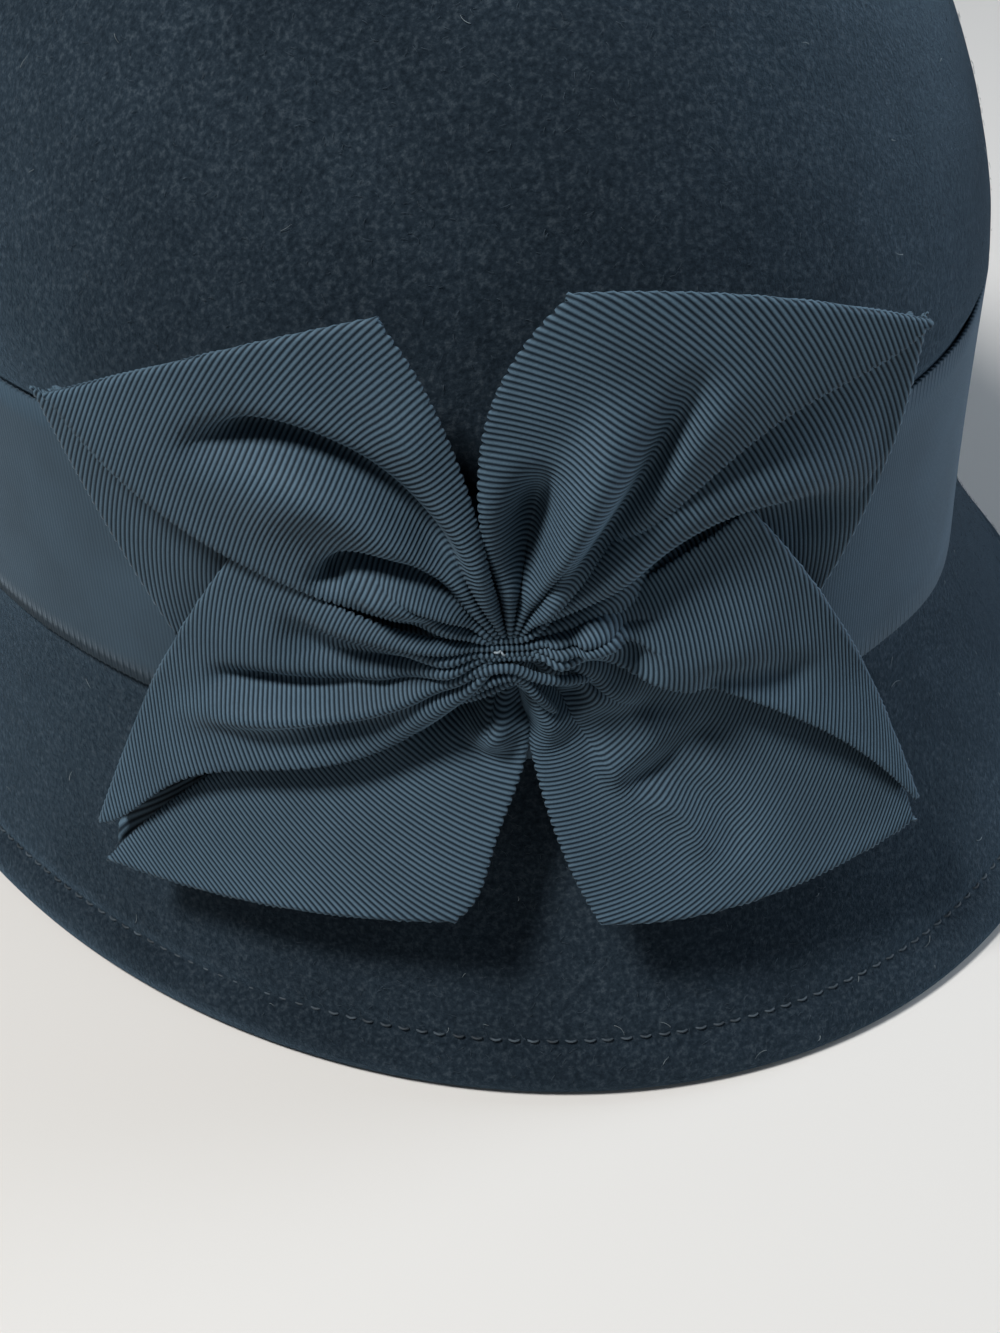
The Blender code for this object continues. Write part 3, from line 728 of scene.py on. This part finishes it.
def fold_lift(name, x, y):
    """Lift of the leg's folds at places in the bow's face."""
    place = np.stack([x, y], -1)[..., None, :]
    lift = np.zeros(x.shape)
    for fold in FOLDS[name]:
        path = smooth_path(fold.path)
        along = np.clip(path[:, 1], 0, 1)
        line = np.stack(leg_plan(name, along, path[:, 0])[:2], -1)
        beside = np.stack(leg_plan(name, along, path[:, 0] - 0.02)[:2], -1)
        low_side = np.cross(line[1] - line[0], beside[0] - line[0])
        start, run = line[:-1], np.diff(line, axis=0)
        share = ((place - start) * run).sum(-1) / np.maximum((run ** 2).sum(-1), 1e-12)
        share = np.clip(share, 0, 1)
        gap = place - (start + share[..., None] * run)
        away = np.hypot(gap[..., 0], gap[..., 1])
        nearest = away.argmin(-1)[..., None]
        distance = np.take_along_axis(away, nearest, -1)[..., 0]
        side = run[:, 0] * (place - start)[..., 1] - run[:, 1] * (place - start)[..., 0]
        side = np.take_along_axis(side, nearest, -1)[..., 0] * np.sign(low_side)
        at = (nearest[..., 0] + np.take_along_axis(share, nearest, -1)[..., 0]) / len(run)
        spread = np.where(side > 0, fold.low, fold.high) * RIBBON_WIDTH
        ends = np.clip(np.minimum(at, 1 - at) / FOLD_FADE, 0, 1)
        ends = ends * ends * (3 - 2 * ends)
        lift = lift + fold.height * np.exp(-(distance / spread) ** 2) * ends
    return lift * BOW_STAND_OFF


def ridge_lift(name, radius, column):
    """Lift of the rounded pleats near the gather."""
    leg, ridges = LEGS[name], RIDGES[name]
    width = radius * math.radians(abs(leg.mid_1 - leg.mid_0)) / ridges.count
    wave = np.abs(np.sin(np.pi * ridges.count * column)) ** RIDGE_POWER
    rise = np.clip((radius - ROOT_RADIUS) / RIDGE_RISE, 0, 1)
    return ridges.height * width * wave * rise * np.exp(-(radius / ridges.fade) ** 2)


def leg_places(name, along, column):
    """Places of a leg in the bow's face, with their lifts."""
    leg = LEGS[name]
    x, y, radius = leg_plan(name, along, column)
    lift_mid = leg.lift_mid_0 + (leg.lift_mid_1 - leg.lift_mid_0) * column
    lift_end = leg.lift_end_0 + (leg.lift_end_1 - leg.lift_end_0) * column
    lift = through(leg.lift_root, lift_mid, lift_end, along) * BOW_STAND_OFF
    lift = lift + fold_lift(name, x, y) + ridge_lift(name, radius, column)
    lift = lift - ROOT_DIP * np.exp(-((radius - ROOT_RADIUS) / ROOT_DIP_SPREAD) ** 2)
    return np.stack([x, y, lift], -1)


def fold_arc(edge):
    """Steps round a fold, from the leg's last row to the tucked row behind it."""
    steps = []
    for i in range(1, FOLD_STEPS + 1):
        turn = math.pi * i / FOLD_STEPS
        drop = (1 - math.cos(turn)) / 2
        move = FOLD_RADIUS * (0.5 * math.sin(turn) - drop * drop)
        scale = 1 + move / np.hypot(edge[:, 0], edge[:, 1])
        steps.append(np.stack([edge[:, 0] * scale, edge[:, 1] * scale,
                               edge[:, 2] - FOLD_DROP * drop], -1))
    return steps


def loop_path(loop):
    """Rows of places along the ribbon: front leg, fold, hidden panel, fold, back leg."""
    column = np.linspace(0.0, 1.0, COLUMNS + 1)[None, :]
    along = np.linspace(0.0, 1.0, LEG_STEPS)[:, None]
    front = leg_places(loop + "_front", along, column)
    back = leg_places(loop + "_back", along, column)
    first_arc, last_arc = fold_arc(front[-1]), fold_arc(back[-1])
    start, end = first_arc[-1], last_arc[-1]
    panel = []
    for k in range(1, PANEL_STEPS):
        share = k / PANEL_STEPS
        row = start + (end - start) * share
        row[:, 2] = start[:, 2] + (end[:, 2] - start[:, 2]) * (1 - (1 - share) ** 2)
        row[:, 2] -= PANEL_DROP[loop] * BOW_STAND_OFF * math.sin(math.pi * share)
        panel.append(row)
    return np.array(list(front) + first_arc + panel + last_arc[::-1] + list(back[::-1]))


def rib_slant(leg, column):
    """How far a rib leans out at a column, as a share of the distance from the gather."""
    return leg.lean_0 * (column - column ** 2 / 2) + leg.lean_1 * column ** 2 / 2


def rib_reach(name, radius, column):
    """Distance along the ribbon at which the ribs of a leg lie."""
    leg, ridges = LEGS[name], RIDGES[name]
    slant, middle = rib_slant(leg, column), rib_slant(leg, 0.5)
    pleat = np.floor(np.clip(ridges.count * column, 0, ridges.count - 0.01))
    pull = np.sin(pleat * RIB_PULL_TURN + ridges.count) * RIB_PULL
    near = (radius - ROOT_RADIUS) / RIB_PULL_REACH
    near = near * np.exp(0.5 - 0.5 * near * near)
    bow = RIB_BOW * ridge_lift(name, radius, column)
    return (radius - ROOT_RADIUS) * (1 + slant - middle) + pull * near - bow


def ribbon_rows(loop):
    """Points of the ribbon at even steps along it, so that each rib is a row of them."""
    places = loop_path(loop)
    path = bow_points(places)
    column = np.linspace(0.0, 1.0, COLUMNS + 1)[None, :]
    radius = np.hypot(places[..., 0], places[..., 1])
    steps = np.linalg.norm(np.diff(path, axis=0), axis=-1)
    front_reach = rib_reach(loop + "_front", radius[:LEG_STEPS], column)
    back_reach = rib_reach(loop + "_back", radius[-LEG_STEPS:], column)
    steps[:LEG_STEPS - 1] = np.diff(front_reach, axis=0)
    steps[1 - LEG_STEPS:] = -np.diff(back_reach, axis=0)
    steps = np.maximum(steps, 1e-6)
    length = np.vstack([np.zeros(steps.shape[1]), np.cumsum(steps, axis=0)])
    total = length[-1]
    spacing = RIB_PITCH / ROWS_PER_RIB
    count = round(total.mean() / spacing / ROWS_PER_RIB) * ROWS_PER_RIB
    first = LEG_STEPS + FOLD_STEPS - 1
    last = len(places) - LEG_STEPS - FOLD_STEPS
    index = np.arange(count + 1)
    rows = np.zeros((count + 1, path.shape[1], 3))
    for j in range(path.shape[1]):
        near = length[first, j] / spacing
        far = count - (total[j] - length[last, j]) / spacing
        reach = np.interp(index, [0, near, far, count],
                          [0, length[first, j], length[last, j], total[j]])
        for k in range(3):
            rows[:, j, k] = np.interp(reach, length[:, j], path[:, j, k])
    return rows, float(total.mean())


def picot_reach(count):
    """How far the selvedge stands out at each row: one rounded loop for each pair of ribs."""
    step = np.arange(count) % (ROWS_PER_RIB * RIBS_PER_PICOT)
    centre = ROWS_PER_RIB / 2
    away = np.abs(step - centre) / (ROWS_PER_RIB * RIBS_PER_PICOT / 2)
    return PICOT_REACH * np.sqrt(np.clip(1 - away ** 2, 0, 1))


def ribbon_wall(rows):
    """A closed ribbon wall round a grid of points: front, selvedge, back, selvedge."""
    count = len(rows)
    normal = grid_normals(rows)
    half = CLOTH_WALL / 2 + RIB_RELIEF * rib_wave(count)[:, None, None]
    front = rows + normal * half
    back = rows - normal * half
    reach = picot_reach(count)[:, None]
    edges = []
    for edge, inner in ((-1, -2), (0, 1)):
        side = rows[:, edge] - rows[:, inner]
        side = side / np.maximum(np.linalg.norm(side, axis=-1, keepdims=True), 1e-9)
        edges.append((rows[:, edge] + side * (SELVEDGE + reach))[:, None])
        front[:, edge] += side * reach * PICOT_CORNER
        back[:, edge] += side * reach * PICOT_CORNER
    return np.concatenate([front, edges[0], back[:, ::-1], edges[1]], axis=1)


def bow_loop(loop, finish):
    """One loop of the bow, as a closed wall of ribbon."""
    rows, length = ribbon_rows(loop)
    wall = ribbon_wall(rows)
    count, sides = wall.shape[:2]
    points = wall.reshape(-1, 3)
    faces = closed_ends(grid_faces(count, sides), count, sides)
    faces = outward(points, faces)
    across = np.linspace(0, 1, COLUMNS + 1)
    across = np.concatenate([across, [1.01], across[::-1], [-0.01]])
    uv = np.zeros((count, sides, 2))
    uv[:, :, 0] = (np.arange(count) / ROWS_PER_RIB)[:, None]
    uv[:, :, 1] = across * RIBBON_WIDTH / MM
    name = "ribbon_" + loop
    made = add_piece(name, points, faces, finish, uv.reshape(-1, 2))
    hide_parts("bow_loop_" + loop)


# Gather: lift and radius of its core from the top down in mm, and the radius of its foot
CORE_SECTIONS = ((-0.9, 0.2), (-1.0, 0.8), (-1.5, 1.4), (-2.2, 1.9), (-3.0, 2.4), (-4.0, 2.9),
                 (-5.0, 3.4), (-6.0, 3.8))
CORE_FOOT = 4.2 * MM
CORE_SIDES = 96
PLEAT_SIDES = 14

# Stitches in the middle of the bow: place across and up in mm, lean in degrees, length in mm
MIDDLE_STITCHES = ((-1.5, 0.3, 12, 1.0), (-0.8, 0.0, -50, 0.8))
MIDDLE_THREAD_RADIUS = 0.14 * MM


def gather(finish):
    """The bunched core that the loops are sewn to, under their roots."""
    middle, across, up, out = (np.array(v) for v in bow_frame())
    turn = full_turn(CORE_SIDES)
    pleats = 1 + 0.10 * np.cos(11 * turn) + 0.05 * np.cos(17 * turn + 1.0)
    sections = [(height * MM, radius * MM * pleats) for height, radius in CORE_SECTIONS]
    sections.append((-(BOW_STAND_OFF - CLEARANCE), CORE_FOOT))
    rings = np.array([middle + out * height + across * (spread * np.cos(turn))[:, None]
                      + up * (spread * np.sin(turn))[:, None] for height, spread in sections])
    points = rings.reshape(-1, 3)
    faces = grid_faces(len(rings), CORE_SIDES)
    faces = outward(points, closed_ends(faces, len(rings), CORE_SIDES))
    uv = np.zeros((len(rings), CORE_SIDES, 2))
    uv[:, :, 0] = np.arange(len(rings))[:, None] * 2.0
    uv[:, :, 1] = np.arange(CORE_SIDES) * 0.3
    made = add_piece("gather_core", points, faces, finish, uv.reshape(-1, 2))
    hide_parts("bow_gather")


def tube(path, radius, sides=8):
    """Points and faces of a round thread along a path, closed at its ends."""
    path = np.asarray(path, float)
    tangent = np.gradient(path, axis=0)
    tangent /= np.maximum(np.linalg.norm(tangent, axis=-1, keepdims=True), 1e-12)
    helper = (0.0, 0.0, 1.0) if abs(tangent[0][2]) < 0.9 else (1.0, 0.0, 0.0)
    side = np.cross(tangent, helper)
    side /= np.linalg.norm(side, axis=-1, keepdims=True)
    over = np.cross(side, tangent)
    turn = full_turn(sides)
    swell = radius * np.sqrt(np.clip(1 - np.linspace(-1, 1, len(path)) ** 8, 0.02, 1))
    rings = (path[:, None, :] + swell[:, None, None]
             * (side[:, None, :] * np.cos(turn)[None, :, None]
                + over[:, None, :] * np.sin(turn)[None, :, None]))
    points = rings.reshape(-1, 3)
    faces = closed_ends(grid_faces(len(path), sides), len(path), sides)
    return points, outward(points, faces)


def joined(parts):
    """One array of points and one of faces from several."""
    points, faces, start = [], [], 0
    for some_points, some_faces in parts:
        points.append(some_points)
        faces.append(some_faces + start)
        start += len(some_points)
    return np.vstack(points), np.vstack(faces)


def gather_pleats(finish):
    """Rounded, ribbed pleats that cross the gather and sink into the loops at both ends."""
    parts, uvs = [], []
    for pleat in PLEATS:
        path = np.array([(reach * math.cos(math.radians(bearing)),
                          reach * math.sin(math.radians(bearing)), lift)
                         for bearing, reach, lift in pleat.path]) * MM
        line = bow_points(smooth_path(path, 24))
        length = lengths_along(line)
        count = int(length[-1] / RIB_PITCH) * ROWS_PER_RIB + 1
        at = np.linspace(0, length[-1], count)
        line = np.stack([np.interp(at, length, line[:, k]) for k in range(3)], -1)
        radius = pleat.radius * MM
        rib = 1 + RIB_RELIEF / radius * rib_wave(count)
        points, faces = tube(line, radius * rib, PLEAT_SIDES)
        uv = np.zeros((count, PLEAT_SIDES, 2))
        uv[:, :, 0] = (np.arange(count) / ROWS_PER_RIB)[:, None]
        uv[:, :, 1] = np.abs(np.arange(PLEAT_SIDES) - PLEAT_SIDES / 2) * 0.3
        parts.append((points, faces))
        uvs.append(uv.reshape(-1, 2))
    points, faces = joined(parts)
    add_piece("gather_pleats", points, faces, finish, np.vstack(uvs))


def gather_thread(finish):
    """Two small stitches that show in the middle of the bow."""
    parts = []
    for x, y, lean, length in MIDDLE_STITCHES:
        turn = math.radians(lean)
        steps = np.linspace(-0.5, 0.5, 11)
        places = np.stack([(x + steps * length * math.cos(turn)) * MM,
                           (y + steps * length * math.sin(turn)) * MM,
                           (1.55 - 1.6 * steps ** 2) * MM], -1)
        parts.append(tube(bow_points(places), MIDDLE_THREAD_RADIUS))
    points, faces = joined(parts)
    add_piece("gather_stitches", points, faces, finish)


# Stitches of the hem, and the fibres on the felt

# The thread dips in by the depth at a stitch's ends, and rises again halfway
STITCH_PITCH = 2.6 * MM
STITCH_LENGTH = 1.7 * MM
STITCH_DEPTH = 0.62 * MM
STITCH_RISE = 0.36 * MM
THREAD_RADIUS = 0.17 * MM


def brim_point(turn, z, off=0.0):
    """A place on the outside of the brim, standing off it by off."""
    share = (BRIM_DEPTH - z) / (BRIM_DEPTH - EDGE_ROUND)
    oval = brim_oval(share)
    return np.array([oval.x + (oval.half_width + off) * math.cos(turn),
                     oval.y + (oval.half_length + off) * math.sin(turn), z])


def dome_point(turn, z):
    """A place on the outside of the dome."""
    share = ((z - DOME_START) / (HAT_HEIGHT - DOME_START)) ** DOME_POWER
    scale = math.sqrt(max(1 - share, 0))
    oval = crown_oval(DOME_BULGE)
    return np.array([oval.x + oval.half_width * scale * math.cos(turn),
                     oval.y + oval.half_length * scale * math.sin(turn), z])


def hem_stitches(finish):
    """A row of short stitches round the brim, sunk in their groove."""
    rng = random.Random(5)
    parts = []
    turns = np.linspace(0, 2 * np.pi, 3601)
    length = lengths_along([brim_point(turn, STITCH_HEIGHT) for turn in turns])
    count = int(length[-1] / STITCH_PITCH)
    for i in range(count):
        start = length[-1] * (i + rng.uniform(-0.05, 0.05)) / count
        path = []
        for step in np.linspace(0, 1, 9):
            turn = np.interp(start + step * STITCH_LENGTH, length, turns)
            rise = STITCH_RISE * math.sin(math.pi * step)
            path.append(brim_point(turn, STITCH_HEIGHT, rise - STITCH_DEPTH))
        parts.append(tube(path, THREAD_RADIUS, 6))
    points, faces = joined(parts)
    add_piece("hem_stitches", points, faces, finish)


# Share of the hairs that lie on the dome, and how far their roots stand off the felt
DOME_HAIRS = 0.55
HAIR_OFF = 0.12 * MM
HAIR_SIDES = 3


def felt_surface(rng):
    """A random place on the outside of the felt, with its normal."""
    while True:
        turn = rng.uniform(0, 2 * math.pi)
        if rng.random() < DOME_HAIRS:
            reach = math.sqrt(rng.random()) * 0.999
            height = (1 - reach * reach) ** (1 / DOME_POWER)
            z = DOME_START + (HAT_HEIGHT - DOME_START) * height
            if z < DOME_START + 2 * MM:
                continue
            place = dome_point
        else:
            z = rng.uniform(3 * MM, BRIM_DEPTH - 1 * MM)
            place = brim_point
        here = place(turn, z)
        side = place(turn + 0.002, z) - here
        up = place(turn, z + 0.05 * MM) - here
        normal = np.cross(side, up)
        size = np.linalg.norm(normal)
        if size > 1e-14:
            return here, normal / size


def felt_hairs(name, finish, count, lengths, radius, steps, seed):
    """Fine curved hairs that lie on the felt, each closed at both ends."""
    rng = random.Random(seed)
    points, faces = [], []
    corners = [2 * math.pi * j / HAIR_SIDES for j in range(HAIR_SIDES)]
    for _ in range(count):
        here, normal = felt_surface(rng)
        side = np.cross(normal, (rng.uniform(-1, 1), rng.uniform(-1, 1), rng.uniform(-1, 1)))
        side /= np.linalg.norm(side)
        over = np.cross(normal, side)
        length = rng.uniform(*lengths)
        bend = rng.uniform(-1.6, 1.6)
        start = len(points)
        base = here + normal * felt_relief(Vector(here))
        for k in range(steps):
            share = k / (steps - 1)
            turn = bend * share
            spot = (base + side * length * math.sin(turn + 1e-6) / (bend + 1e-6)
                    + over * length * (1 - math.cos(turn)) / (bend + 1e-6)
                    + normal * (HAIR_OFF + 0.30 * length * share * (1 - 0.6 * share)))
            ahead = side * math.cos(turn) + over * math.sin(turn)
            beside = np.cross(ahead, normal)
            thick = radius * (1 - 0.75 * share)
            for corner in corners:
                points.append(spot + beside * thick * math.cos(corner)
                              + normal * thick * math.sin(corner))
        for k in range(steps - 1):
            for j in range(HAIR_SIDES):
                a = start + HAIR_SIDES * k + j
                b = start + HAIR_SIDES * k + (j + 1) % HAIR_SIDES
                faces.append([a, b, b + HAIR_SIDES, a + HAIR_SIDES])
        faces.append([start + 2, start + 1, start])
        last = start + HAIR_SIDES * (steps - 1)
        faces.append([last, last + 1, last + 2])
    add_piece(name, points, faces, finish)


# Floor, light and background

FLOOR_REACH = 3.0


def stage():
    corners = [(x * FLOOR_REACH, y * FLOOR_REACH, 0.0) for y in (-1, 1) for x in (-1, 1)]
    mesh = bpy.data.meshes.new("floor")
    mesh.from_pydata(corners, [], [(0, 1, 3, 2)])
    finish, nodes, _ = node_tree("floor")
    set_shader(nodes, Roughness=0.9, Base_Color=(0.62, 0.61, 0.59, 1.0))
    mesh.materials.append(finish)
    floor = add_object("floor", mesh)


LIT_MIDDLE = Vector((-0.03, -0.05, 0.07))


def area_light(name, place, size, power, colour):
    """A round soft light at a place, turned towards the middle of the part that shows."""
    data = bpy.data.lights.new(name, "AREA")
    data.shape = "DISK"
    data.size = size
    data.energy = power
    data.color = colour
    made = add_object(name, data)
    made.location = place
    made.rotation_euler = (LIT_MIDDLE - Vector(place)).to_track_quat("-Z", "Y").to_euler()


def lights():
    area_light("key", (-0.62, -0.22, 1.10), 0.26, 18.5, (1.0, 0.98, 0.96))
    area_light("fill", (0.45, -0.95, 0.55), 0.8, 1.0, (0.82, 0.92, 1.0))
    area_light("rim", (0.85, -0.20, 0.30), 0.5, 5.4, (0.78, 0.88, 1.0))
    world = bpy.data.worlds.new("world")
    world.use_nodes = True
    background = world.node_tree.nodes["Background"]
    background.inputs["Color"].default_value = (0.78, 0.88, 1.0, 1.0)
    background.inputs["Strength"].default_value = 0.08
    bpy.context.scene.world = world
    bpy.context.scene.view_settings.view_transform = "Standard"


def main():
    camera()
    stage()
    lights()
    # The first colour of each ribbon is the painted shade in its rib valleys, and the second is
    # its colour on the crests
    ribbon = ribbon_material("bow_ribbon", (0.006, 0.013, 0.021), (0.070, 0.117, 0.160),
                             0.3, 0.05)
    band_ribbon = ribbon_material("band_ribbon", (0.030, 0.053, 0.075), (0.041, 0.070, 0.099),
                                  0.2, 0.10)
    thread = plain_material("thread", (0.22, 0.27, 0.31), 0.6)
    hem_thread = plain_material("hem_thread", (0.036, 0.050, 0.063), 0.6, 0.6)
    nap = plain_material("nap", (0.034, 0.050, 0.066), 0.8, 0.5)
    lint = plain_material("lint", (0.20, 0.24, 0.26), 0.8, 0.5)
    shell = felt(felt_material())
    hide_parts("felt_body")
    band(band_ribbon)
    for loop in LOOPS:
        bow_loop(loop, ribbon)
    gather(ribbon)
    gather_pleats(ribbon)
    gather_thread(thread)
    hem_stitches(hem_thread)
    felt_hairs("felt_nap", nap, 9000, (0.5 * MM, 1.3 * MM), 0.035 * MM, 3, 11)
    felt_hairs("felt_lint", lint, 260, (0.4 * MM, 2.4 * MM), 0.045 * MM, 9, 12)


main()
